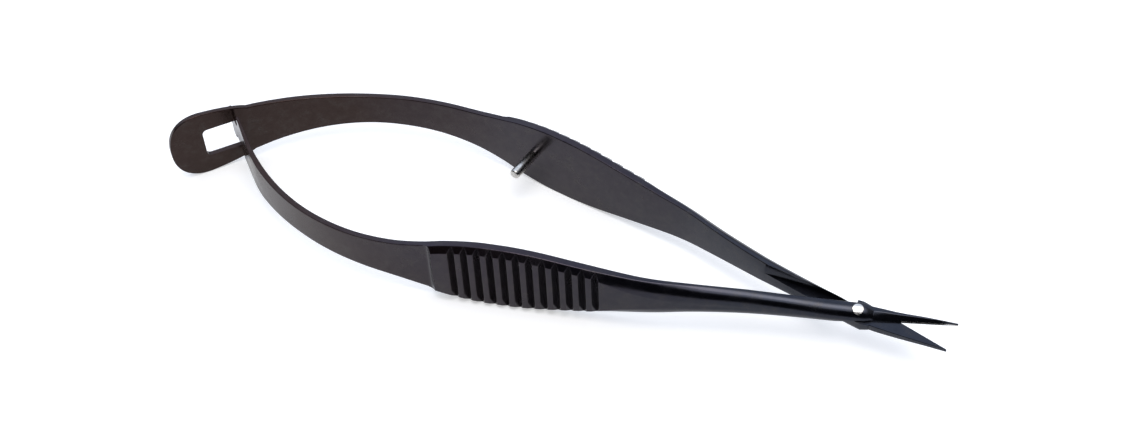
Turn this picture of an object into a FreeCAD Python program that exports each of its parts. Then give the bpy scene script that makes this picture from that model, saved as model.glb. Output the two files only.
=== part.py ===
import FreeCAD, Part
import math
import os

os.makedirs("parts", exist_ok=True)
V = FreeCAD.Vector

# All sizes in mm. X points to the tips and Z up. The pivot axis is at X = Y = 0 until the last step,
# which moves the whole so that the origin is in the middle of its underside.

# Widths of a handle, in Z
handle_width = 10.8
shank_width = 3.75
lap_width = 2.8
leaf_width = 5.0
tail_width = 8.0
mid = handle_width / 2

# Run of the inner face, as distances along it from the pivot and angles to the X axis. The tail is
# straight for tail_run from the leaf's bend to where it crosses the middle plane.
inner_offset = 1.1
lap_angle = 13.1
shank_angle = 18.8
grip_angle = 10.8
leaf_angle = 2.4
shank_end = 23.8
grip_start = 29.0
grip_end = 54.6
leaf_bend_start = 62.8
leaf_bend_radius = 34.1
tail_run = 1.9

# Thickness from the inner face outwards
lap_thick = 2.1
shank_thick = 1.7
grip_thick = 1.7
leaf_thick = 0.8
grip_chamfer = 0.75
shoulder_run = 1.1

# Grooves across the outer face of the grip
groove_count = 12
groove_pitch = 1.7
groove_width = 1.0
groove_depth = 0.45
first_groove = 2.7

# Rear joint
window_length = 5.8
window_height = 4.8
window_corner = 0.7
window_front_play = 0.8
nose_length = 4.8
tongue_width = 8.4
neck_height = 3.6
neck_length = 2.3
neck_play = 0.4
head_length = 1.4
head_height = 5.5
head_corner = 0.5
neck_fillet = 0.7

# Lap joint and its screw
lap_gap = 0.04
lap_height = 1.38
lap_front = 1.7
lap_bevel = 0.3
lap_bevel_height = 0.75
inner_bevel = 0.1
seat_radius = 1.95
boss_play = 0.12
closing_angle = 9.55
screw_head_radius = 0.68
screw_radius = 0.45
screw_head_deep = 0.2
screw_cone_deep = 0.25
screw_clearance = 0.04
thread_clearance = 0.01

# Blades
upper_reach = 12.4
lower_reach = 11.8
upper_tip_angle = 13.2
lower_tip_angle = 2 * closing_angle - upper_tip_angle
upper_back = 1.6
lower_back = 1.15
blade_thick = 0.95
blade_tip_thick = 0.4
edge_angle = 17.5

# Stop pin
pin_radius = 0.7
pin_length = 4.5
pin_from_shoulder = 3.9
pin_chamfer = 0.18
pin_in_arm = 1.1


def turn_point(p, angle, length):
    a = math.radians(angle)
    return V(p.x - length * math.cos(a), p.y + length * math.sin(a), 0)


def normal(angle):
    a = math.radians(angle)
    return V(math.sin(a), math.cos(a), 0)


def end_point(p, length, first, last):
    """Where a straight or evenly curved stretch from p ends."""
    if abs(first - last) < 0.0001:
        return turn_point(p, first, length)
    radius = length / math.radians(first - last)
    return p + normal(last) * radius - normal(first) * radius


# Each stretch of the inner face: where it starts, its length, and its angles at both ends
stretches = []
walk = V(0, -inner_offset, 0)
walked = 0.0


def add_stretch(length, first, last):
    global walk, walked
    stretches.append((walked, length, first, last, walk))
    walk = end_point(walk, length, first, last)
    walked = walked + length


add_stretch(shank_end, lap_angle, shank_angle)
add_stretch(grip_start - shank_end, shank_angle, grip_angle)
add_stretch(grip_end - grip_start, grip_angle, grip_angle)
add_stretch(leaf_bend_start - grip_end, grip_angle, leaf_angle)

# The bend turns until the straight tail meets the middle plane after tail_run
rise = leaf_bend_radius * math.cos(math.radians(leaf_angle)) - walk.y
lean = math.atan2(tail_run, leaf_bend_radius)
tail_angle = math.degrees(lean - math.acos(rise / math.hypot(leaf_bend_radius, tail_run)))
tail_start = leaf_bend_start + leaf_bend_radius * math.radians(leaf_angle - tail_angle)
crossing = tail_start + tail_run
tail_end = crossing - window_front_play + window_length + nose_length
add_stretch(tail_start - leaf_bend_start, leaf_angle, tail_angle)
add_stretch(tail_end - tail_start, tail_angle, tail_angle)


def station(s, out=0.0):
    """Point at distance s along the inner face, moved outwards, and the angle there."""
    for start, length, first, last, p in stretches:
        if s <= start + length or start == stretches[-1][0]:
            part = s - start
            angle = first + (last - first) * part / length
            return end_point(p, part, first, angle) + normal(angle) * out, angle


def in_grip(share):
    """Distance of a point of the grip, as a share of the grip's length."""
    return grip_start + share * (grip_end - grip_start)


# Width of the handle at distances along it
shoulder_widths = [(in_grip(0.94), handle_width - 1.3), (grip_end + 1.4, handle_width - 2.8)]
bar_widths = [
    (-lap_front, lap_width), (0.17 * shank_end, lap_width + 0.1),
    (0.34 * shank_end, 0.55 * lap_width + 0.45 * shank_width), (0.59 * shank_end, shank_width), (0.84 * shank_end, shank_width + 0.8),
    (0.77 * shank_end + 0.23 * grip_start, shank_width + 1.85), (grip_start + 1, handle_width - 4),
    (in_grip(0.27), handle_width - 2.15), (in_grip(0.47), handle_width - 0.6), (in_grip(0.63), handle_width),
    (in_grip(0.78), handle_width - 0.15)] + shoulder_widths
leaf_widths = shoulder_widths + [
    (grip_end + 5.4, leaf_width + 1.45), (grip_end + 10.4, leaf_width + 0.55),
    (leaf_bend_start + 7.2, leaf_width + 0.15), (leaf_bend_start + 13.2, leaf_width), (tail_start - 10.8, leaf_width + 0.6),
    (tail_start - 4.8, tail_width - 1.2), (tail_start, tail_width), (tail_start + 5.2, tail_width + 1.3)]


def spline(points):
    curve = Part.BSplineCurve()
    curve.interpolate(points)
    return curve.toShape()


def section(s, width, thick, side, face, roundness):
    """Section of the handle: flat bevelled inner side, and outer corners that are round or bevelled."""
    p, angle = station(s)
    n = normal(angle)

    def at(out, z):
        return V(p.x + n.x * out, p.y + n.y * out, mid + z)

    half = width / 2
    near = min(1.0, max(0.0, (14 - s) / 6))
    bevel = inner_bevel + (lap_bevel - inner_bevel) * near
    bevel_z = half - inner_bevel - (lap_bevel_height - inner_bevel) * near
    a, b = at(0, -bevel_z), at(0, bevel_z)
    a_side, b_side = at(bevel, -half), at(bevel, half)
    c, d = at(side, half), at(thick, face)
    e, f = at(thick, -face), at(side, -half)
    mt = side + (thick - side) * roundness
    mz = face + (half - face) * roundness
    up = Part.Arc(c, at(mt, mz), d).toShape()
    down = Part.Arc(e, at(mt, -mz), f).toShape()
    return Part.Wire([
        Part.makeLine(a, b), Part.makeLine(b, b_side), Part.makeLine(b_side, c), up,
        Part.makeLine(d, e), down, Part.makeLine(f, a_side), Part.makeLine(a_side, a)])


def handle_bar():
    """Lap, D-shaped shank and grip, from the joint to just past the shoulder."""
    sections = []
    for s, width in bar_widths:
        flat = min(1.0, max(0.0, (s - shank_end + 4) / 14))
        thick = lap_thick + (shank_thick - lap_thick) * min(1.0, max(0.0, (s - 4) / 10))
        if s > shank_end:
            thick = grip_thick
        side = 0.35 + (thick - grip_chamfer - 0.35) * flat
        face = 0.12 + (width / 2 - grip_chamfer - 0.12) * flat
        sections.append(section(s, width, thick, side, face, 0.7 - 0.19 * flat))
    return Part.makeLoft(sections, True, False)


def leaf_outline():
    """Side view of the leaf, as a solid that runs right through in Y."""
    top = [V(station(s)[0].x, -60, mid + w / 2) for s, w in leaf_widths]
    low = [V(p.x, -60, 2 * mid - p.z) for p in reversed(top)]
    wire = Part.Wire([spline(top), Part.makeLine(top[-1], low[0]), spline(low),
                      Part.makeLine(low[-1], top[0])])
    return Part.Face(wire).extrude(V(0, 120, 0))


def along(s0, s1, out=0.0):
    """Edge at one distance from the inner face, within a single stretch."""
    a, b, c = station(s0, out)[0], station((s0 + s1) / 2, out)[0], station(s1, out)[0]
    if abs(station(s0)[1] - station(s1)[1]) < 0.001:
        return Part.makeLine(a, c)
    return Part.Arc(a, b, c).toShape()


def leaf():
    """Spring leaf, cut from its plan and its side view."""
    s0, s1 = grip_end - 1.4, tail_start + 1.0
    edges = [
        along(s0, grip_end), along(grip_end, leaf_bend_start), along(leaf_bend_start, tail_start),
        along(tail_start, s1), Part.makeLine(station(s1)[0], station(s1, leaf_thick)[0]),
        along(s1, tail_start, leaf_thick), along(tail_start, leaf_bend_start, leaf_thick),
        along(leaf_bend_start, grip_end, leaf_thick), along(grip_end, s0, leaf_thick),
        Part.makeLine(station(s0, leaf_thick)[0], station(s0)[0])]
    return Part.Face(Part.Wire(edges)).extrude(V(0, 0, handle_width)).common(leaf_outline())


def shoulder():
    """What is milled off behind the grip, down to the leaf, with a hollow run-out."""
    end = grip_end + shoulder_run
    far = grip_end + 6
    edge, foot = station(grip_end, grip_thick)[0], station(end, leaf_thick)[0]
    hollow = station(grip_end + shoulder_run * 0.3, leaf_thick + 0.27 * (grip_thick - leaf_thick))[0]
    edges = [
        Part.Arc(edge, hollow, foot).toShape(), along(end, far, leaf_thick),
        Part.makeLine(station(far, leaf_thick)[0], station(far, 4)[0]),
        Part.makeLine(station(far, 4)[0], station(grip_end, 4)[0]),
        Part.makeLine(station(grip_end, 4)[0], edge)]
    return Part.Face(Part.Wire(edges)).extrude(V(0, 0, handle_width))


def grooves():
    """V-shaped grooves, cut right across the outer face and its chamfers."""
    over = 1.2
    cutters = []
    for i in range(groove_count):
        s = grip_end - first_groove - i * groove_pitch
        top = grip_thick + (over - 1) * groove_depth
        apex = station(s, grip_thick - groove_depth)[0]
        left = station(s - over * groove_width / 2, top)[0]
        right = station(s + over * groove_width / 2, top)[0]
        face = Part.Face(Part.makePolygon([apex, left, right, apex]))
        cutters.append(face.extrude(V(0, 0, handle_width)))
    return Part.makeCompound(cutters)


def tail_point(s, z):
    p = station(s)[0]
    return V(p.x, p.y, mid + z)


def plate(wire):
    """Flat piece of the tail, as thick as the leaf."""
    return Part.Face(wire).extrude(normal(tail_angle) * leaf_thick)


def paddle():
    nose = tail_end
    end = nose - nose_length
    half = handle_width / 2
    side = [
        (tail_start, tail_width / 2), (end - 5.1, half - 0.8), (end - 2.6, half - 0.3), (end, half),
        (end + 2.5, half - 0.5), (end + 3.8, half - 1.5), (nose - 0.5, half - 2.6)]
    top = [tail_point(s, z) for s, z in side]
    low = [tail_point(s, -z) for s, z in reversed(side)]
    wire = Part.Wire([spline(top + [tail_point(nose, 0)] + low), Part.makeLine(low[-1], top[0])])
    return plate(wire).cut(window(end))


def window(end):
    """Rounded opening of the paddle, cut square to its face."""
    front = end - window_length
    h, r = window_height / 2, window_corner
    k = r * (1 - math.sqrt(0.5))
    edges = []
    corners = ((front, -h, 1, 1), (end, -h, -1, 1), (end, h, -1, -1), (front, h, 1, -1))
    last = None
    for i, (s, z, ds, dz) in enumerate(corners):
        along, across = tail_point(s + ds * r, z), tail_point(s, z + dz * r)
        turn = tail_point(s + ds * k, z + dz * k)
        a, b = (across, along) if i % 2 == 0 else (along, across)
        if last:
            edges.append(Part.makeLine(last, a))
        else:
            first = a
        edges.append(Part.Arc(a, turn, b).toShape())
        last = b
    edges.append(Part.makeLine(last, first))
    face = Part.Face(Part.Wire(edges))
    face.translate(normal(tail_angle) * -2)
    return face.extrude(normal(tail_angle) * 5)


def tongue():
    """Notched end of the hooked arm: full width, neck, and a head with an ear on each side."""
    neck = crossing - neck_play
    head = neck + neck_length
    end = head + head_length
    n, h = neck_height / 2, head_height / 2
    f, c = neck_fillet, head_corner
    k = 1 - math.sqrt(0.5)
    start = tail_start
    root, full = tail_width / 2, tongue_width / 2

    def side(sign):
        def t(s, z):
            return tail_point(s, sign * z)
        return [
            Part.makeLine(t(start, root), t(neck - f, full)),
            Part.makeLine(t(neck - f, full), t(neck - f, n + f)),
            Part.Arc(t(neck - f, n + f), t(neck - f + f * k, n + f * k), t(neck, n)).toShape(),
            Part.makeLine(t(neck, n), t(head, n)),
            Part.makeLine(t(head, n), t(head, h - c)),
            Part.Arc(t(head, h - c), t(head + c * k, h - c * k), t(head + c, h)).toShape(),
            Part.makeLine(t(head + c, h), t(end - c, h)),
            Part.Arc(t(end - c, h), t(end - c * k, h - c * k), t(end, h - c)).toShape()]

    low = [e.copy() for e in side(-1)]
    ends = [Part.makeLine(tail_point(end, h - c), tail_point(end, c - h)),
            Part.makeLine(tail_point(start, -root), tail_point(start, root))]
    wire = Part.Wire(Part.__sortEdges__(side(1) + low + ends))
    return plate(wire)


def blade(level, side):
    """Pointed blade: level is +1 above the shear plane or -1 below it."""
    reach, angle, outer_run = lower_reach, lower_tip_angle, lower_back
    if level > 0:
        reach, angle, outer_run = upper_reach, upper_tip_angle, upper_back
    tip = V(reach * math.cos(math.radians(angle)), reach * math.sin(math.radians(angle)), 0)
    slope = math.tan(math.radians(edge_angle))
    root_x = -0.6
    inner = tip.y - (tip.x - 0.2) * slope
    pts = [
        V(root_x, 0.5 * outer_run + 0.35, 0), V(4.4, outer_run, 0),
        V(8.0, 0.5 * (tip.y + outer_run) + 0.05, 0), tip]
    outer = spline(pts)
    edge = Part.makeLine(tip, V(0.2, inner, 0))
    back = Part.makeLine(V(0.2, inner, 0), V(root_x, inner, 0))
    close = Part.makeLine(V(root_x, inner, 0), pts[0])
    flat = Part.Face(Part.Wire([outer, edge, back, close]))
    body = flat.extrude(V(0, 0, blade_thick))
    run = math.hypot(tip.x, tip.y)
    wedge = Part.Face(Part.makePolygon([
        V(-2, -5, 0), V(-2, -5, blade_thick), V(3.0, -5, blade_thick), V(run + 0.6, -5, blade_tip_thick),
        V(run + 0.6, -5, 0), V(-2, -5, 0)])).extrude(V(0, 12, 0))
    body = body.common(wedge)
    if level < 0:
        body = body.mirror(V(0, 0, 0), V(0, 0, 1))
    if side < 0:
        body = body.mirror(V(0, 0, 0), V(0, 1, 0))
    body.translate(V(0, 0, mid + level * lap_gap / 2))
    return body


def relief(level):
    """Half of the joint that the other arm needs, down to where its inner face comes when shut."""
    a = math.radians(2 * closing_angle - lap_angle - 1.1)
    clear = inner_offset * math.cos(math.radians(lap_angle)) + boss_play
    reach = 30.0
    wall = V(0, clear / math.cos(a), 0)
    wedge = Part.Face(Part.makePolygon([
        V(20, 12, 0), V(0, 12, 0), wall, V(-reach, wall.y + reach * math.tan(a), 0),
        V(-reach, -12, 0), V(20, -12, 0), V(20, 12, 0)])).extrude(V(0, 0, mid))
    seat = Part.makeCylinder(seat_radius, mid, V(0, 0, 0), V(0, 0, 1))
    cut = wedge.fuse(seat)
    cut.translate(V(0, 0, mid - lap_gap / 2 if level < 0 else lap_gap / 2))
    return cut


def screw_profile(radial):
    """Countersunk screw, ground flush at both ends, as a profile to turn about the pivot axis."""
    top, low = mid + lap_height, mid - lap_height
    hr, r = screw_head_radius + radial, screw_radius + radial
    step = top - screw_head_deep
    return Part.makePolygon([
        V(0, 0, low), V(r, 0, low), V(r, 0, step - screw_cone_deep), V(hr, 0, step),
        V(hr, 0, top), V(0, 0, top), V(0, 0, low)])


def turned(profile):
    return Part.Face(profile).revolve(V(0, 0, 0), V(0, 0, 1), 360)


def arm(tail, level, screw_hole):
    """One arm with its handle on the +Y side. level -1 keeps the lower half of the lap, +1 the upper."""
    bar = handle_bar().cut(shoulder()).fuse([leaf(), tail]).cut(grooves())
    bar = bar.common(Part.makeBox(200, 80, handle_width, V(-150, -40, 0)))
    bar = bar.cut(relief(level)).fuse(blade(level, -1))
    return bar.cut(screw_hole).removeSplitter()


def stop_pin():
    s = grip_end - pin_from_shoulder
    base, angle = station(s, pin_in_arm)
    base.z = mid
    length = pin_in_arm + pin_length
    r, c = pin_radius, pin_chamfer
    body = Part.makeCylinder(r, length - c, base, normal(angle) * -1)
    tip = Part.makeCone(r, r - c, c, base + normal(angle) * -(length - c), normal(angle) * -1)
    return body.fuse(tip).removeSplitter()


pin = stop_pin()
screw = turned(screw_profile(0.0))
slotted = arm(paddle(), -1, turned(screw_profile(thread_clearance))).cut(pin)
hooked = arm(tongue(), 1, turned(screw_profile(screw_clearance))).mirror(V(0, 0, 0), V(0, 1, 0))

# The arms' extent along X and Y gives the middle of the underside
box = Part.makeCompound([slotted, hooked]).optimalBoundingBox(False, False)
to_origin = V(-box.Center.x, -box.Center.y, 0)
print("pivot at", round(to_origin.x, 3), round(to_origin.y, 3), round(mid, 3))

for name, shape in (
        ("slotted_arm", slotted), ("hooked_arm", hooked), ("pivot_screw", screw), ("stop_pin", pin)):
    shape.translate(to_origin)
    solids = shape.Solids
    print(name, len(solids), round(shape.Volume, 2), shape.isValid())
    (solids[0] if len(solids) == 1 else shape).exportStep("parts/" + name + ".step")
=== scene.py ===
import bmesh
import bpy
import math
from mathutils import Matrix, Vector


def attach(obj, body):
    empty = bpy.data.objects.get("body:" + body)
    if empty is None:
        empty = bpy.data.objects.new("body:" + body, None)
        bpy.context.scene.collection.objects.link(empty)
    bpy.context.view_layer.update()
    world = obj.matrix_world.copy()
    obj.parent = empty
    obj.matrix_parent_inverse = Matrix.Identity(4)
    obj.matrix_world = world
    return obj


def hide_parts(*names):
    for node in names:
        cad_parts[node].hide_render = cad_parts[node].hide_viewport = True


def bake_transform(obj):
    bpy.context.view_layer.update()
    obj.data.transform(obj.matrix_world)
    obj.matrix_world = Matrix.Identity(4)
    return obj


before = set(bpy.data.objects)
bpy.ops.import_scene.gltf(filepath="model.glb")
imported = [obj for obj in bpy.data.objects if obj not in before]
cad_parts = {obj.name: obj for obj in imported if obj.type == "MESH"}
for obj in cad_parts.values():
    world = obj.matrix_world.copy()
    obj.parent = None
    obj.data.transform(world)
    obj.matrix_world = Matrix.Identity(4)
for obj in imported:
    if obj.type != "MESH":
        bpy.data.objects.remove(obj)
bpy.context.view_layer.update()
print("frame loaded")

mm = 0.001

# The run of an arm, in mm: distances along its inner face from the pivot, and angles to the long axis
armRun = {
    "pivotX": 42.107,
    "mid": 5.4,
    "innerOffset": 1.1,
    "lapAngle": 13.1,
    "shankAngle": 18.8,
    "gripAngle": 10.8,
    "leafAngle": 2.4,
    "shankEnd": 23.8,
    "gripStart": 29.0,
    "gripEnd": 54.6,
    "leafBendStart": 62.8,
    "leafBendRadius": 34.1,
    "tailRun": 1.9,
    "tailThick": 0.7,
    "lapFront": 1.7,
}

# The near leaf comes in a little flatter behind its bend
hookedRun = dict(armRun, leafBendRadius=32.7, tailRun=5.6, tailThick=0.4)

# Thickness, width and edges of an arm, in mm
armBody = {
    "lapThick": 2.1,
    "shankThick": 1.7,
    "gripThick": 1.7,
    "leafThick": 0.8,
    "handleWidth": 10.8,
    "chamfer": 0.75,
    "shoulderRun": 1.1,
    "innerEdge": 0.16,
    "lapEdge": (0.34, 0.85),
    "softEdge": 0.1,
    "frontTaper": 0.7,
    "shankSide": 0.35,
    "shankFace": 0.12,
    "bulge": 0.7,
    "gripBulgeLoss": 0.19,
    "step": 0.5,
}


def direction(angle):
    a = math.radians(angle)
    return Vector((-math.cos(a), math.sin(a), 0))


def outward(angle):
    a = math.radians(angle)
    return Vector((math.sin(a), math.cos(a), 0))


def endPoint(point, length, first, last):
    # where a straight or evenly curved stretch ends
    if abs(first - last) < 1e-6:
        return point + direction(first) * length
    return point + (outward(last) - outward(first)) * (length / math.radians(first - last))


def makeRun(run):
    # every stretch of the inner face, and the angle at which the tail meets the middle plane
    point, walked, stretches = Vector((0, -run["innerOffset"], 0)), 0.0, []

    def addStretch(length, first, last):
        nonlocal point, walked
        stretches.append((walked, length, first, last, point.copy()))
        point = endPoint(point, length, first, last)
        walked += length

    addStretch(run["shankEnd"], run["lapAngle"], run["shankAngle"])
    addStretch(run["gripStart"] - run["shankEnd"], run["shankAngle"], run["gripAngle"])
    addStretch(run["gripEnd"] - run["gripStart"], run["gripAngle"], run["gripAngle"])
    addStretch(run["leafBendStart"] - run["gripEnd"], run["gripAngle"], run["leafAngle"])
    radius, straight = run["leafBendRadius"], run["tailRun"]
    rise = radius * math.cos(math.radians(run["leafAngle"])) - point.y
    tailAngle = math.degrees(math.atan2(straight, radius) - math.acos(rise / math.hypot(radius, straight)))
    addStretch(radius * math.radians(run["leafAngle"] - tailAngle), run["leafAngle"], tailAngle)
    run["tailStart"] = walked
    run["crossing"] = walked + straight
    addStretch(20.0, tailAngle, tailAngle)
    run["stretches"] = stretches
    print("tail angle", round(tailAngle, 2), "crossing", round(run["crossing"], 2))


makeRun(armRun)
makeRun(hookedRun)


def station(run, s):
    # point of the inner face at distance s, and the angle there
    for start, length, first, last, point in run["stretches"]:
        if s <= start + length:
            angle = first + (last - first) * (s - start) / length
            return endPoint(point, s - start, first, angle), angle


def smoothTable(rows):
    # smooth curve through rows of distance and value
    slopes = []
    for i in range(len(rows)):
        a, b = rows[max(0, i - 1)], rows[min(len(rows) - 1, i + 1)]
        slopes.append((b[1] - a[1]) / (b[0] - a[0]))

    def value(s):
        if s <= rows[0][0]:
            return rows[0][1]
        if s >= rows[-1][0]:
            return rows[-1][1]
        for i in range(len(rows) - 1):
            if s <= rows[i + 1][0]:
                h = rows[i + 1][0] - rows[i][0]
                t = (s - rows[i][0]) / h
                return ((2 * t ** 3 - 3 * t ** 2 + 1) * rows[i][1] + (t ** 3 - 2 * t ** 2 + t) * h * slopes[i]
                        + (3 * t ** 2 - 2 * t ** 3) * rows[i + 1][1] + (t ** 3 - t ** 2) * h * slopes[i + 1])
    return value


def barWidth(run):
    # width of an arm along its run
    end = run["tailStart"]
    return smoothTable([
        (-1.9, 2.8), (4, 2.9), (8, 3.2), (14, 3.75), (20, 4.55), (25, 5.6), (30, 6.8), (36, 8.65), (41, 10.2),
        (45, 10.8), (49, 10.65), (53, 9.5), (56, 8.0), (60, 6.45), (65, 5.55), (70, 5.15), (76, 5.0),
        (82, 5.6), (88, 6.8), (max(end, 91.5), 8.0)])


def arcPoints(a, b, c, count):
    # points on the circle through three flat points, ends left out
    ax, ay, bx, by, cx, cy = *a, *b, *c
    d = 2 * (ax * (by - cy) + bx * (cy - ay) + cx * (ay - by))
    if abs(d) < 1e-6:
        shares = range(1, count + 1)
        return [(ax + (cx - ax) * i / (count + 1), ay + (cy - ay) * i / (count + 1)) for i in shares]
    farA, farB, farC = ax * ax + ay * ay, bx * bx + by * by, cx * cx + cy * cy
    ux = (farA * (by - cy) + farB * (cy - ay) + farC * (ay - by)) / d
    uy = (farA * (cx - bx) + farB * (ax - cx) + farC * (bx - ax)) / d
    r = math.hypot(ax - ux, ay - uy)
    first, last = math.atan2(ay - uy, ax - ux), math.atan2(cy - uy, cx - ux)
    turn = (last - first + math.pi) % (2 * math.pi) - math.pi
    turns = [first + turn * i / (count + 1) for i in range(1, count + 1)]
    return [(ux + r * math.cos(t), uy + r * math.sin(t)) for t in turns]


def softCorner(before, corner, after, radius, count=4):
    # a rounded corner of a flat outline, with one radius or one for each side
    first, second = radius if isinstance(radius, tuple) else (radius, radius)

    def toward(p, reach):
        length = math.hypot(p[0] - corner[0], p[1] - corner[1])
        k = min(reach, 0.48 * length) / max(length, 1e-6)
        return (corner[0] + (p[0] - corner[0]) * k, corner[1] + (p[1] - corner[1]) * k)
    a, b = toward(before, first), toward(after, second)
    points = []
    for i in range(count):
        t = i / (count - 1)
        points.append(tuple((1 - t) ** 2 * a[j] + 2 * t * (1 - t) * corner[j] + t * t * b[j] for j in (0, 1)))
    return points


def sectionHalf(s, half, body, run):
    # upper half of the section at s, as pairs of distance outwards and height
    hollowEnd = run["gripEnd"] + body["shoulderRun"]
    inner, soft = body["innerEdge"], body["softEdge"]
    if s >= hollowEnd:
        thin = min(1.0, max(0.0, (s - run["crossing"] + 10) / 8))
        t = body["leafThick"] + (run["tailThick"] - body["leafThick"]) * thin
        corner = (t, half)
        flat = [(t, half * (0.9 - 0.1 * i)) for i in range(8)]
        points = [(0, 0)] + softCorner((0, 0), (0, half), corner, inner, 7)
        points += softCorner((0, half), corner, flat[0], soft) + flat[:7]
        points += [(t, half * (0.25 - 0.05 * i)) for i in range(4)] + [(t, 0)]
        return points
    flat = min(1.0, max(0.0, (s - run["shankEnd"] + 4) / 14))
    thick = body["lapThick"] + (body["shankThick"] - body["lapThick"]) * min(1.0, max(0.0, (s - 4) / 10))
    side = body["shankSide"] + (thick - body["chamfer"] - body["shankSide"]) * flat
    face = body["shankFace"] + (half - body["chamfer"] - body["shankFace"]) * flat
    bulge = body["bulge"] - body["gripBulgeLoss"] * flat
    middle = (side + (thick - side) * bulge, face + (half - face) * bulge)
    c, d = (side, half), (thick, face)
    bow = arcPoints(c, middle, d, 7)
    near = min(1.0, max(0.0, (14 - s) / 6))
    lapEdge = tuple(inner + (edge - inner) * near for edge in reversed(body["lapEdge"]))
    points = [(0, 0)] + softCorner((0, 0), (0, half), (max(side, 2.2 * lapEdge[1]), half), lapEdge, 7)
    points += softCorner((0, half), c, bow[0], soft) + bow
    points += softCorner(bow[-1], d, (thick, 0), soft) + [(thick, 0)]
    if s > run["gripEnd"]:
        k = (s - run["gripEnd"]) / body["shoulderRun"]
        cut = body["leafThick"] + (body["gripThick"] - body["leafThick"]) * (1 - k) ** 2.6
        points = [(min(out, cut), z) for out, z in points]
    if s < -0.7:
        k = 1 - (1 - body["frontTaper"]) * (-0.7 - s) / (run["lapFront"] - 0.7)
        points = [(thick / 2 + (out - thick / 2) * k, z * k) for out, z in points]
    return points


def paddleEnd(half, start, windowEnd, nose, fullness):
    # half widths of the slotted tail, and round its nose
    sides = smoothTable([
        (start, 4.0), (windowEnd - 5.1, half - 0.8), (windowEnd - 2.6, half - 0.3), (windowEnd, half)])
    steps = 16
    places = [start + (windowEnd - start) * i / steps for i in range(1, steps)]
    found = [(s, sides(s)) for s in places]
    for i in range(25):
        a = math.pi / 2 * i / 24
        reach = (nose - windowEnd) * math.sin(a) ** fullness
        found.append((windowEnd + reach, max(0.03, half * math.cos(a) ** fullness)))
    return found


# The slotted tail of one arm and the notched tongue of the other, in mm
tailSizes = {
    "windowLength": 5.4,
    "windowHeight": 4.8,
    "windowCorner": 0.7,
    "windowFrontPlay": 0.4,
    "noseLength": 4.8,
    "noseFullness": 0.85,
    "tongueWidth": 8.4,
    "neckHeight": 3.6,
    "neckLength": 2.3,
    "neckPlay": 0.4,
    "headLength": 1.4,
    "headHeight": 5.5,
    "headCorner": 0.5,
    "neckFillet": 0.7,
}


def tongueEnd(tail, run):
    # half widths of the hooked tail: full width, neck and head
    neck = run["crossing"] - tail["neckPlay"]
    head = neck + tail["neckLength"]
    end = head + tail["headLength"]
    full, n, h = tail["tongueWidth"] / 2, tail["neckHeight"] / 2, tail["headHeight"] / 2
    f, c = tail["neckFillet"], tail["headCorner"]
    wider = smoothTable([(run["tailStart"], barWidth(run)(run["tailStart"]) / 2), (neck - f, full)])
    found, s = [], run["tailStart"] + 0.5
    while s < neck - f - 0.1:
        found.append((s, wider(s)))
        s += 0.5
    found += [(neck - f - 0.06, full - 0.05), (neck - f, full - 0.14), (neck - f + 0.01, n + f)]
    for i in range(1, 7):
        a = math.pi / 2 * i / 6
        found.append((neck - f + f * math.sin(a), n + f * math.cos(a)))
    found += [(head - 0.01, n), (head, h - c)]
    for i in range(1, 6):
        a = math.pi / 2 * i / 5
        found.append((head + c - c * math.cos(a), h - c + c * math.sin(a)))
    for i in range(6):
        a = math.pi / 2 * i / 5
        found.append((end - c + c * math.sin(a), h - c + c * math.cos(a)))
    return found


def armStations(ending, run, body):
    # distances and half widths of all sections, closer together over the grip and the shoulder
    found, s = [], -run["lapFront"]
    edge, width = run["gripEnd"], barWidth(run)
    while s < run["tailStart"] + 0.2:
        found.append((s, min(width(s), body["handleWidth"]) / 2))
        inGrip = edge - 24.5 < s < edge
        onShoulder = edge - 0.1 <= s < edge + body["shoulderRun"]
        s += 0.05 if inGrip or onShoulder else body["step"]
    return found + ending


def makeMesh(name, points, faces):
    mesh = bpy.data.meshes.new(name)
    mesh.from_pydata([p * mm for p in points], [], faces)
    made = bpy.data.objects.new(name, mesh)
    bpy.context.scene.collection.objects.link(made)
    return made


def inPlace(p, z, side, run):
    return Vector((p.x + run["pivotX"], p.y * side, z + run["mid"]))


def makeHandle(name, side, ending, run, body):
    # the arm swept along its run, from the lap to the end of its tail
    rows = armStations(ending, run, body)
    points, facts = [], []
    for s, half in rows:
        p, angle = station(run, s)
        n = outward(angle)
        upper = sectionHalf(s, half, body, run)
        ring = upper + [(out, -z) for out, z in reversed(upper[1:-1])]
        for out, z in ring:
            points.append(inPlace(p + n * out, z, side, run))
            facts.append((s, out, Vector((n.x, n.y * side, 0))))
    count = len(ring)
    faces = []
    for i in range(len(rows) - 1):
        for j in range(count):
            a, b = i * count + j, i * count + (j + 1) % count
            faces.append((a, b, b + count, a + count))
    faces.append(tuple(reversed(range(count))))
    faces.append(tuple(range((len(rows) - 1) * count, len(rows) * count)))
    if side > 0:
        faces = [tuple(reversed(f)) for f in faces]
    made = makeMesh(name, points, faces)
    for label, kind, index in (
            ("runLength", "FLOAT", 0), ("outDistance", "FLOAT", 1), ("outDirection", "FLOAT_VECTOR", 2)):
        attribute = made.data.attributes.new(label, kind, "POINT")
        for i, fact in enumerate(facts):
            if index == 2:
                attribute.data[i].vector = fact[2]
            else:
                attribute.data[i].value = fact[index]
    return made


def toMesh(thing, name):
    # the object with its modifiers applied, as a plain mesh in its place
    graph = bpy.context.evaluated_depsgraph_get()
    graph.update()
    mesh = bpy.data.meshes.new_from_object(thing.evaluated_get(graph))
    thing.modifiers.clear()
    old = thing.data
    thing.data = mesh
    mesh.name = name
    if old.users == 0:
        bpy.data.meshes.remove(old)
    return thing


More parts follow.
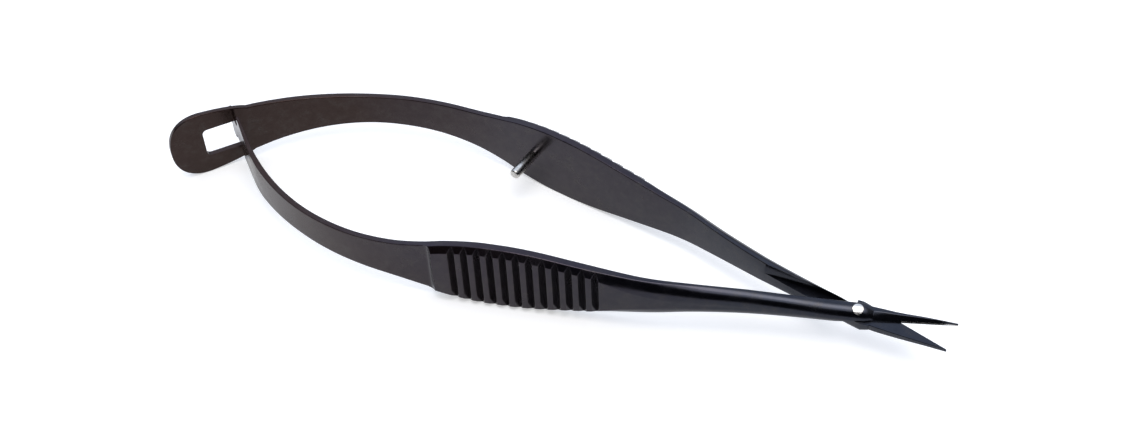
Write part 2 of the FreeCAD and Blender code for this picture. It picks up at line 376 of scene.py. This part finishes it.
def cutWith(thing, tool, operation="DIFFERENCE"):
    cut = thing.modifiers.new("cut", "BOOLEAN")
    cut.object = tool
    cut.operation = operation
    cut.solver = "EXACT"
    toMesh(thing, thing.name)
    bpy.data.objects.remove(tool)
    return thing


def circle(radius, run):
    # round outline about the pivot axis
    turns = [k * math.pi / 32 for k in range(64)]
    return [(run["pivotX"] + radius * math.cos(t), radius * math.sin(t)) for t in turns]


def prism(name, outline, low, high):
    # outline in mm in the plane of the scissors, heights from the floor
    n = len(outline)
    points = [Vector((x, y, low)) for x, y in outline] + [Vector((x, y, high)) for x, y in outline]
    faces = [tuple(reversed(range(n))), tuple(range(n, 2 * n))]
    faces += [(i, (i + 1) % n, (i + 1) % n + n, i + n) for i in range(n)]
    made = makeMesh(name, points, faces)
    tidyFaces(made)
    return made


def tidyFaces(made):
    work = bmesh.new()
    work.from_mesh(made.data)
    bmesh.ops.remove_doubles(work, verts=work.verts, dist=1e-7)
    bmesh.ops.recalc_face_normals(work, faces=work.faces)
    work.to_mesh(made.data)
    work.free()


# Grooves cut across the outer face of each grip, in mm
grooveSizes = {
    "First": 2.7,
    "Pitch": 1.7,
    "Count": 12,
    "Width": 1.04,
    "Depth": 0.72,
    "Lip": 0.035,
}


def addNode(tree, kind, values=None, **settings):
    # one node with its settings and the values of its inputs, by place or by name
    node = tree.nodes.new(kind)
    for key, value in settings.items():
        setattr(node, key, value)
    for key, value in (values or {}).items():
        if isinstance(value, bpy.types.NodeSocket):
            tree.links.new(value, node.inputs[key])
        else:
            node.inputs[key].default_value = value
    return node


def grooveTree(material):
    # pushes the outer face in along evenly spaced V-shaped grooves
    tree = bpy.data.node_groups.new("gripGrooves", "GeometryNodeTree")
    face = tree.interface
    face.new_socket("Geometry", in_out="INPUT", socket_type="NodeSocketGeometry")
    for label in ("Grip End", "Thickness", "First", "Pitch", "Width", "Depth", "Lip"):
        face.new_socket(label, in_out="INPUT", socket_type="NodeSocketFloat")
    face.new_socket("Count", in_out="INPUT", socket_type="NodeSocketInt")
    face.new_socket("Geometry", in_out="OUTPUT", socket_type="NodeSocketGeometry")
    source = addNode(tree, "NodeGroupInput").outputs

    def sums(operation, a, b=0.0, c=0.0):
        return addNode(tree, "ShaderNodeMath", {0: a, 1: b, 2: c}, operation=operation).outputs[0]

    def named(label, kind):
        node = addNode(tree, "GeometryNodeInputNamedAttribute", {"Name": label}, data_type=kind)
        return node.outputs["Attribute"]

    along = named("runLength", "FLOAT")
    out = named("outDistance", "FLOAT")
    fromFirst = sums("SUBTRACT", sums("SUBTRACT", source["Grip End"], source["First"]), along)
    number = sums("ROUND", sums("DIVIDE", fromFirst, source["Pitch"]))
    number = sums("MAXIMUM", sums("MINIMUM", number, sums("SUBTRACT", source["Count"], 1.0)), 0.0)
    away = sums("ABSOLUTE", sums("SUBTRACT", fromFirst, sums("MULTIPLY", number, source["Pitch"])))
    share = sums("SUBTRACT", 1.0, sums("DIVIDE", away, sums("MULTIPLY", source["Width"], 0.5)))
    limit = sums("SUBTRACT", source["Thickness"], sums("MULTIPLY", share, source["Depth"]))
    kept = sums("SMOOTH_MIN", out, limit, source["Lip"])
    shift = sums("MULTIPLY", sums("MINIMUM", sums("SUBTRACT", kept, out), 0.0), mm)
    offset = addNode(tree, "ShaderNodeVectorMath", {
        0: named("outDirection", "FLOAT_VECTOR"), "Scale": shift}, operation="SCALE")
    inGrip = addNode(tree, "FunctionNodeCompare", {
        0: along, 1: source["Grip End"]}, data_type="FLOAT", operation="LESS_THAN")
    moved = addNode(tree, "GeometryNodeSetPosition", {
        "Geometry": source["Geometry"], "Selection": inGrip.outputs[0], "Offset": offset.outputs[0]})
    whole = addNode(tree, "GeometryNodeRealizeInstances", {0: moved.outputs[0]})
    finish = addNode(tree, "GeometryNodeSetMaterial", {"Geometry": whole.outputs[0]})
    finish.inputs["Material"].default_value = material
    end = addNode(tree, "NodeGroupOutput")
    tree.links.new(finish.outputs[0], end.inputs[0])
    return tree


def cutGrooves(thing, tree, sizes, run, body):
    cut = thing.modifiers.new("gripGrooves", "NODES")
    cut.node_group = tree
    values = dict(sizes)
    values["Grip End"] = run["gripEnd"]
    values["Thickness"] = body["gripThick"]
    for item in tree.interface.items_tree:
        if item.in_out == "INPUT" and item.name in values:
            cut[item.identifier] = values[item.name]
    return toMesh(thing, thing.name)


# Lap joint, in mm and degrees
lapSizes = {
    "gap": 0.04,
    "closingAngle": 9.55,
    "bossPlay": 0.12,
    "wallPlay": 1.1,
    "cutHeight": 8.0,
    "seatRadius": 1.95,
    "screwRadius": 0.66,
    "screwShank": 0.45,
    "screwGap": 0.04,
}


def lapCutter(level, side, lap, run):
    # what an arm loses at the joint, so that the other arm can swing through it
    a = math.radians(2 * lap["closingAngle"] - run["lapAngle"] - lap["wallPlay"])
    clear = run["innerOffset"] * math.cos(math.radians(run["lapAngle"])) + lap["bossPlay"]
    wall, reach = clear / math.cos(a), 30.0
    low, high = sorted((run["mid"] - lap["gap"] / 2, run["mid"] - level * lap["cutHeight"]))

    def place(x, y):
        return (x + run["pivotX"], y * side)
    wedge = prism("lapWedge", [place(*p) for p in (
        (20, 12), (0, 12), (0, wall), (-reach, wall + reach * math.tan(a)), (-reach, -12), (20, -12))],
        low, high)
    return cutWith(wedge, prism("lapSeat", circle(lap["seatRadius"], run), low, high), "UNION")


# Blades, in mm and degrees
bladeSizes = {
    "upper": {"reach": 12.4, "tipAngle": 13.2, "back": 1.6},
    "lower": {"reach": 11.8, "tipAngle": 5.9, "back": 1.15},
    "thick": 0.95,
    "tipThick": 0.4,
    "edgeAngle": 17.5,
    "groundWidth": 0.13,
    "groundFrom": 5.2,
    "facet": 0.5,
    "backEdge": 0.16,
}


def makeBlade(name, level, side, blades, lap, run):
    # a tapered blade: flat shear face, sloping facet down to a narrow ground edge, soft back
    own = blades["upper" if level > 0 else "lower"]
    angle = math.radians(own["tipAngle"])
    tip = Vector((own["reach"] * math.cos(angle), own["reach"] * math.sin(angle), 0))
    slope = math.tan(math.radians(blades["edgeAngle"]))
    back = smoothTable([
        (-0.6, 0.5 * own["back"] + 0.35), (4.4, own["back"]),
        (8.0, 0.5 * (tip.y + own["back"]) + 0.05), (tip.x, tip.y + 0.03)])
    points, faces, steps = [], [], 60
    for i in range(steps + 1):
        x = -0.6 + (tip.x + 0.6) * (1 - (1 - i / steps) ** 1.25)
        edge = tip.y - (tip.x - max(x, 0.2)) * slope
        outer = back(x)
        t = blades["thick"] + (blades["tipThick"] - blades["thick"]) * max(0.0, (x - 3.0) / (tip.x - 2.4))
        wide = max(outer - edge, 0.05)
        ground = min(blades["groundWidth"], wide * 0.3)
        facet = ground + min(wide * blades["facet"], 0.9 * t)
        soft = min(blades["backEdge"], wide * 0.25)
        ring = [(edge, 0), (edge + wide * 0.5, 0), (outer - soft * 0.3, 0), (outer, soft * 0.3)]
        ring += softCorner((outer, soft * 0.3), (outer, t), (edge + facet, t), soft)
        ring += softCorner((outer, t), (edge + facet, t), (edge + ground, t * 0.3), 0.06, 3)
        ring += [(edge + ground, t * 0.3), (edge + 0.01, 0.02)]
        for y, z in ring:
            points.append(inPlace(Vector((x, -y, 0)), level * (z + lap["gap"] / 2), side, run))
    count = len(ring)
    for i in range(steps):
        for j in range(count):
            a, b = i * count + j, i * count + (j + 1) % count
            faces.append((a, b, b + count, a + count))
    faces.append(tuple(reversed(range(count))))
    faces.append(tuple(range(steps * count, (steps + 1) * count)))
    made = makeMesh(name, points, faces)
    ground = made.data.attributes.new("ground", "BOOLEAN", "FACE")
    for i in range(steps):
        for j in (count - 2, count - 1):
            ground.data[i * count + j].value = points[i * count].x - run["pivotX"] > blades["groundFrom"]
    tidyFaces(made)
    return made


def smoothByAngle(made, limit=38):
    work = bmesh.new()
    work.from_mesh(made.data)
    for f in work.faces:
        f.smooth = True
    for e in work.edges:
        e.smooth = len(e.link_faces) == 2 and e.calc_face_angle(0) < math.radians(limit)
    work.to_mesh(made.data)
    work.free()
    made.data.update()


def srgb(text):
    # a colour written as hex, turned linear
    parts = [int(text[i:i + 2], 16) / 255 for i in (1, 3, 5)]
    return tuple(v / 12.92 if v <= 0.04045 else ((v + 0.055) / 1.055) ** 2.4 for v in parts) + (1.0,)


# Satin black coating of the arms: base colour browner at the tail and blacker towards the joint; the tint of
# its reflections is painted by position, warm at the tail and blue towards the joint, standing in for a
# bluish sky reflected over the shank
coatLooks = {
    "brown": "#170e0c",
    "black": "#07070a",
    "tailPaintedReflectionTint": "#f2c9bd",
    "gripPaintedReflectionTint": "#efdcf2",
    "shankPaintedReflectionTint": "#dfe6ff",
    "wornGloss": "#fff4ea",
    "roughLow": 0.14,
    "roughHigh": 0.3,
    "cloudSize": 9.0,
    "cloudShift": 20,
    "grainSize": 0.3,
    "grainDepth": 0.005,
}

# Bare ground and turned steel of the screw, the pin and the cutting edges
steelLooks = {
    "light": "#d8d5cf",
    "dark": "#a9a5a0",
    "roughLow": 0.18,
    "roughHigh": 0.36,
    "grainSize": 0.12,
}


def newMaterial(name):
    material = bpy.data.materials.new(name)
    material.use_nodes = True
    tree = material.node_tree
    tree.nodes.clear()
    shader = addNode(tree, "ShaderNodeBsdfPrincipled")
    addNode(tree, "ShaderNodeOutputMaterial", {"Surface": shader.outputs[0]})
    return material, tree, shader


def noise(tree, where, size, detail=3.0, rough=0.5):
    return addNode(tree, "ShaderNodeTexNoise", {
        "Vector": where, "Scale": 1 / (size * mm), "Detail": detail, "Roughness": rough}).outputs["Fac"]


def spread(tree, value, low, high, toLow, toHigh):
    node = addNode(tree, "ShaderNodeMapRange", {
        "Value": value, "From Min": low, "From Max": high, "To Min": toLow, "To Max": toHigh})
    return node.outputs["Result"]


def blendColours(tree, factor, a, b):
    node = addNode(tree, "ShaderNodeMix", {0: factor}, data_type="RGBA")
    for place, value in ((6, a), (7, b)):
        if isinstance(value, bpy.types.NodeSocket):
            tree.links.new(value, node.inputs[place])
        else:
            node.inputs[place].default_value = value
    return node.outputs[2]


def makeCoat(looks):
    material, tree, shader = newMaterial("satin black coating on steel")
    where = addNode(tree, "ShaderNodeTexCoord").outputs["Object"]
    along = addNode(tree, "ShaderNodeSeparateXYZ", {0: where}).outputs["X"]
    cloud = noise(tree, where, looks["cloudSize"], 4.0, 0.6)
    wander = addNode(tree, "ShaderNodeMath", {
        0: cloud, 1: looks["cloudShift"] * mm, 2: along}, operation="MULTIPLY_ADD").outputs[0]
    grain = noise(tree, where, looks["grainSize"] * 5, 6.0, 0.75)

    toBlack = spread(tree, wander, -25 * mm, 20 * mm, 0, 1)
    base = blendColours(tree, toBlack, srgb(looks["brown"]), srgb(looks["black"]))
    tree.links.new(base, shader.inputs["Base Color"])

    # painted reflection tint: reflections tinted warm at the tail, pale mauve over the grip and blue towards
    # the joint, set by position along the arm
    toGrip = spread(tree, wander, -25 * mm, 0, 0, 1)
    gloss = blendColours(tree, toGrip, srgb(looks["tailPaintedReflectionTint"]), srgb(looks["gripPaintedReflectionTint"]))
    gloss = blendColours(tree, spread(tree, wander, 14 * mm, 40 * mm, 0, 1), gloss, srgb(looks["shankPaintedReflectionTint"]))
    gloss = blendColours(tree, spread(tree, grain, 0.5, 0.8, 0, 0.9), gloss, srgb(looks["wornGloss"]))
    tree.links.new(gloss, shader.inputs["Specular Tint"])
    level = spread(tree, grain, 0.3, 0.7, 0.4, 0.56)
    tree.links.new(level, shader.inputs["Specular IOR Level"])

    patches = noise(tree, where, looks["grainSize"] * 10, 4.0, 0.65)
    rough = spread(tree, patches, 0.3, 0.7, looks["roughLow"], looks["roughHigh"])
    tree.links.new(rough, shader.inputs["Roughness"])
    fine = noise(tree, where, looks["grainSize"], 3.0, 0.6)
    bump = addNode(tree, "ShaderNodeBump", {
        "Height": fine, "Strength": 0.4, "Distance": looks["grainDepth"] * mm})
    tree.links.new(bump.outputs[0], shader.inputs["Normal"])
    return material


def makeSteel(looks):
    material, tree, shader = newMaterial("bare ground steel")
    where = addNode(tree, "ShaderNodeTexCoord").outputs["Object"]
    grain = noise(tree, where, looks["grainSize"] * 3, 4.0, 0.6)
    tint = blendColours(tree, spread(tree, grain, 0.35, 0.7, 0, 1), srgb(looks["light"]), srgb(looks["dark"]))
    tree.links.new(tint, shader.inputs["Base Color"])
    rough = spread(tree, grain, 0.3, 0.7, looks["roughLow"], looks["roughHigh"])
    tree.links.new(rough, shader.inputs["Roughness"])
    shader.inputs["Metallic"].default_value = 1.0
    fine = noise(tree, where, looks["grainSize"], 2.0, 0.5)
    bump = addNode(tree, "ShaderNodeBump", {"Height": fine, "Strength": 0.3, "Distance": 0.003 * mm})
    tree.links.new(bump.outputs[0], shader.inputs["Normal"])
    return material


coat = makeCoat(coatLooks)
steel = makeSteel(steelLooks)
print("finishes made")


def makeArm(name, side, level, run, ending, tree):
    # an arm with its grooves, its half of the lap joint and its blade
    arm = makeHandle(name, side, ending, run, armBody)
    cutGrooves(arm, tree, grooveSizes, run, armBody)
    tidyFaces(arm)
    for label in ("runLength", "outDistance", "outDirection"):
        arm.data.attributes.remove(arm.data.attributes[label])
    cutWith(arm, lapCutter(level, side, lapSizes, run))
    blade = makeBlade(name + "Blade", level, side, bladeSizes, lapSizes, run)
    return cutWith(arm, blade, "UNION")


def roundBar(name, radius, low, high, run):
    # an upright cylinder on the pivot axis, heights from the shear plane
    return prism(name, circle(radius, run), low + run["mid"], high + run["mid"])


def screwEnd(arm, radius, low, high, lap, run):
    # takes the screw's place out of an arm, and gives back the flush end that fills it
    end = roundBar("screwEnd", radius, low, high, run)
    end = cutWith(end, copyOf(arm), "INTERSECT")
    cutWith(arm, roundBar("screwHole", radius + lap["screwGap"], low * 2, high * 2, run))
    return end


def copyOf(thing):
    twin = thing.copy()
    twin.data = thing.data.copy()
    bpy.context.scene.collection.objects.link(twin)
    return twin


def windowCutter(tail, side, run):
    # rounded prism through the slotted tail
    start = run["crossing"] - tail["windowFrontPlay"]
    end, h, r = start + tail["windowLength"], tail["windowHeight"] / 2, tail["windowCorner"]
    outline = []
    for cs, cz, first in (
            (end - r, h - r, 0), (start + r, h - r, 90), (start + r, r - h, 180), (end - r, r - h, 270)):
        for k in range(7):
            a = math.radians(first + 15 * k)
            outline.append((cs + r * math.cos(a), cz + r * math.sin(a)))
    points = []
    for out in (-3.0, 4.0):
        for s, z in outline:
            p, angle = station(run, s)
            points.append(inPlace(p + outward(angle) * out, z, side, run))
    n = len(outline)
    faces = [tuple(reversed(range(n))), tuple(range(n, 2 * n))]
    faces += [(i, (i + 1) % n, (i + 1) % n + n, i + n) for i in range(n)]
    made = makeMesh("window", points, faces)
    tidyFaces(made)
    return made


grooves = grooveTree(coat)
windowEnd = armRun["crossing"] - tailSizes["windowFrontPlay"] + tailSizes["windowLength"]
tailEnd = windowEnd + tailSizes["noseLength"]
slottedEnding = paddleEnd(
    armBody["handleWidth"] / 2, armRun["tailStart"], windowEnd, tailEnd, tailSizes["noseFullness"])
slottedArm = makeArm("slottedArm", 1, -1, armRun, slottedEnding, grooves)
cutWith(slottedArm, windowCutter(tailSizes, 1, armRun))
print("slotted arm made")
hookedArm = makeArm("hookedArm", -1, 1, hookedRun, tongueEnd(tailSizes, hookedRun), grooves)
print("hooked arm made")
upperEnd = screwEnd(hookedArm, lapSizes["screwRadius"], -0.1, 3.0, lapSizes, armRun)
lowerEnd = screwEnd(slottedArm, lapSizes["screwShank"], -3.0, 0.1, lapSizes, armRun)


def finishArm(arm):
    arm.data.materials.clear()
    arm.data.materials.append(coat)
    arm.data.materials.append(steel)
    ground = arm.data.attributes.get("ground")
    if ground:
        for face, mark in zip(arm.data.polygons, ground.data):
            face.material_index = 1 if mark.value else 0
        arm.data.attributes.remove(ground)
    smoothByAngle(arm)


finishArm(slottedArm)
finishArm(hookedArm)


# Ends of the screw and the stop pin, in mm
pinSizes = {
    "radius": 0.7,
    "length": 4.5,
    "fromShoulder": 3.9,
    "edge": 0.16,
    "inArm": 0.4,
}


def turnedPiece(name, profile, base, axis):
    # a turned piece from pairs of distance along its axis and radius
    turn = Vector((0, 0, 1)).rotation_difference(axis).to_matrix()
    steps, points, faces = 64, [], []
    for h, r in profile:
        for k in range(steps):
            a = 2 * math.pi * k / steps
            points.append(base + turn @ Vector((r * math.cos(a), r * math.sin(a), h)))
    for i in range(len(profile) - 1):
        for k in range(steps):
            a, b = i * steps + k, i * steps + (k + 1) % steps
            faces.append((a, b, b + steps, a + steps))
    faces.append(tuple(reversed(range(steps))))
    faces.append(tuple(range((len(profile) - 1) * steps, len(profile) * steps)))
    made = makeMesh(name, points, faces)
    tidyFaces(made)
    made.data.materials.append(steel)
    smoothByAngle(made, 50)
    return made


def makePin(sizes, run):
    p, angle = station(run, run["gripEnd"] - sizes["fromShoulder"])
    n = outward(angle)
    base = inPlace(p + n * sizes["inArm"], 0, 1, run)
    length, r, e = sizes["length"] + sizes["inArm"], sizes["radius"], sizes["edge"]
    profile = [
        (0, r - 0.02), (0.05, r), (length - e * 1.3, r), (length - e, r - 0.01),
        (length - e * 0.4, r - e * 0.4), (length - 0.02, r - e), (length, r - e - 0.05), (length, 0.02)]
    return turnedPiece("stopPin", profile, base, Vector((-n.x, -n.y, 0)))


def makeScrew(upper, lower, lap, run):
    # both flush ends and the bar between them, which the lap hides
    bar = roundBar("pivotScrew", lap["screwShank"] - 0.02, -0.6, 0.4, run)
    cutWith(bar, lower, "UNION")
    cutWith(bar, upper, "UNION")
    bar.data.materials.clear()
    bar.data.materials.append(steel)
    smoothByAngle(bar)
    return bar


stopPin = makePin(pinSizes, armRun)
pivotScrew = makeScrew(upperEnd, lowerEnd, lapSizes, armRun)
print("pin and screw made")

for piece, body, node, finish in (
        (slottedArm, "slotted_half", "slotted_arm", "black_coat"),
        (pivotScrew, "slotted_half", "pivot_screw", "bare_steel"),
        (stopPin, "slotted_half", "stop_pin", "bare_steel")):
    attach(piece, body)
    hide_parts(node)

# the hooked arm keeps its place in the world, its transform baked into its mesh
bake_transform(hookedArm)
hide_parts("hooked_arm")
print("pieces ride their bodies")

# Floor and lighting
stageLooks = {
    "floorColour": "#ffffff",
    "floorShare": 0.72,
    "floorGlow": 0.5,
    "mirrorGlow": 0.3,
    "dark": "#060607",
    "side": "#4c4f56",
    "window": "#aab4c6",
    "softbox": "#f4f7ff",
    "worldStrength": 2.6,
    "windowSide": (-0.43, 0.9, 0.0),
    "softboxSide": (0.075, -0.16, 0.984),
    "lampPlace": (0.06, -0.1, 0.7),
    "lampWidth": 0.3,
    "lampPower": 1.2,
    "lampColour": "#fffaf4",
}


def makeFloor(looks):
    size = 6.0
    corners = [Vector((x * size, y * size, 0)) / mm for x, y in ((-1, -1), (1, -1), (1, 1), (-1, 1))]
    floor = makeMesh("floor", corners, [(0, 1, 2, 3)])
    material = bpy.data.materials.new("white table top")
    material.use_nodes = True
    tree = material.node_tree
    tree.nodes.clear()
    share = tuple(v * looks["floorShare"] for v in srgb(looks["floorColour"])[:3]) + (1.0,)
    matte = addNode(tree, "ShaderNodeBsdfDiffuse", {"Color": share})
    path = addNode(tree, "ShaderNodeLightPath").outputs

    def onlyFor(ray, glow):
        return addNode(tree, "ShaderNodeMath", {0: path[ray], 1: glow}, operation="MULTIPLY").outputs[0]
    direct = onlyFor("Is Camera Ray", looks["floorGlow"])
    mirrored = onlyFor("Is Glossy Ray", looks["mirrorGlow"])
    strength = addNode(tree, "ShaderNodeMath", {0: direct, 1: mirrored}, operation="MAXIMUM").outputs[0]
    glow = addNode(tree, "ShaderNodeEmission", {"Strength": strength})
    both = addNode(tree, "ShaderNodeAddShader", {0: matte.outputs[0], 1: glow.outputs[0]})
    addNode(tree, "ShaderNodeOutputMaterial", {"Surface": both.outputs[0]})
    floor.data.materials.append(material)
    return floor


def makeWorld(looks):
    # a wide softbox overhead, a dimmer window behind the object and a dark room behind the viewer
    world = bpy.data.worlds.new("studio")
    bpy.context.scene.world = world
    world.use_nodes = True
    tree = world.node_tree
    tree.nodes.clear()
    where = addNode(tree, "ShaderNodeTexCoord").outputs["Generated"]

    def toward(side):
        dot = addNode(tree, "ShaderNodeVectorMath", {0: where, 1: side}, operation="DOT_PRODUCT")
        return dot.outputs["Value"]
    away = toward(looks["windowSide"])
    height = toward((0.0, 0.0, 1.0))
    room = blendColours(tree, spread(tree, away, -0.5, 0.2, 0, 1), srgb(looks["dark"]), srgb(looks["side"]))
    behind = spread(tree, away, 0.05, 0.4, 0, 1)
    risen = spread(tree, height, 0.1, 0.55, 0, 1)
    share = addNode(tree, "ShaderNodeMath", {0: behind, 1: risen}, operation="MULTIPLY").outputs[0]
    sky = blendColours(tree, share, room, srgb(looks["window"]))
    box = spread(tree, toward(looks["softboxSide"]), 0.87, 0.92, 0, 1)
    sky = blendColours(tree, box, sky, srgb(looks["softbox"]))
    back = addNode(tree, "ShaderNodeBackground", {"Color": sky, "Strength": looks["worldStrength"]})
    addNode(tree, "ShaderNodeOutputWorld", {"Surface": back.outputs[0]})


def makeLamp(looks):
    # a square softbox over the object, aimed at its middle
    data = bpy.data.lights.new("overheadSoftbox", "AREA")
    data.shape = "RECTANGLE"
    data.size = data.size_y = looks["lampWidth"]
    data.energy = looks["lampPower"]
    data.color = srgb(looks["lampColour"])[:3]
    lamp = bpy.data.objects.new("overheadSoftbox", data)
    bpy.context.scene.collection.objects.link(lamp)
    place = Vector(looks["lampPlace"])
    lamp.matrix_world = Matrix.Translation(place) @ (-place).to_track_quat("-Z", "Y").to_matrix().to_4x4()


makeFloor(stageLooks)
makeWorld(stageLooks)
makeLamp(stageLooks)

# The view of the photo: angles in degrees, distances in mm from the pivot
cameraView = {
    "azimuth": 25.438,
    "elevation": 47.954,
    "roll": -3.053,
    "focal": 1820.0,
    "imageWidth": 1140,
    "right": 35.2403,
    "up": -13.46,
    "distance": 227.5,
}


def makeCamera(view, run):
    a, e, r = (math.radians(view[k]) for k in ("azimuth", "elevation", "roll"))
    right = Vector((math.cos(a), math.sin(a), 0))
    away = Vector((-math.sin(a), math.cos(a), 0))
    up = away * math.sin(e) + Vector((0, 0, 1)) * math.cos(e)
    look = away * math.cos(e) - Vector((0, 0, 1)) * math.sin(e)
    pivot = Vector((run["pivotX"], 0, run["mid"]))
    place = pivot - right * view["right"] - up * view["up"] - look * view["distance"]
    across = right * math.cos(r) + up * math.sin(r)
    upward = up * math.cos(r) - right * math.sin(r)
    data = bpy.data.cameras.new("camera")
    data.sensor_width = 36.0
    data.lens = view["focal"] / view["imageWidth"] * 36.0
    data.clip_start = 0.01
    data.clip_end = 50.0
    camera = bpy.data.objects.new("camera", data)
    bpy.context.scene.collection.objects.link(camera)
    turn = Matrix((across, upward, -look)).transposed().to_4x4()
    camera.matrix_world = Matrix.Translation(place * mm) @ turn
    bpy.context.scene.camera = camera


makeCamera(cameraView, armRun)
bpy.context.scene.view_settings.view_transform = "Standard"
print("floor, lamps and camera set")
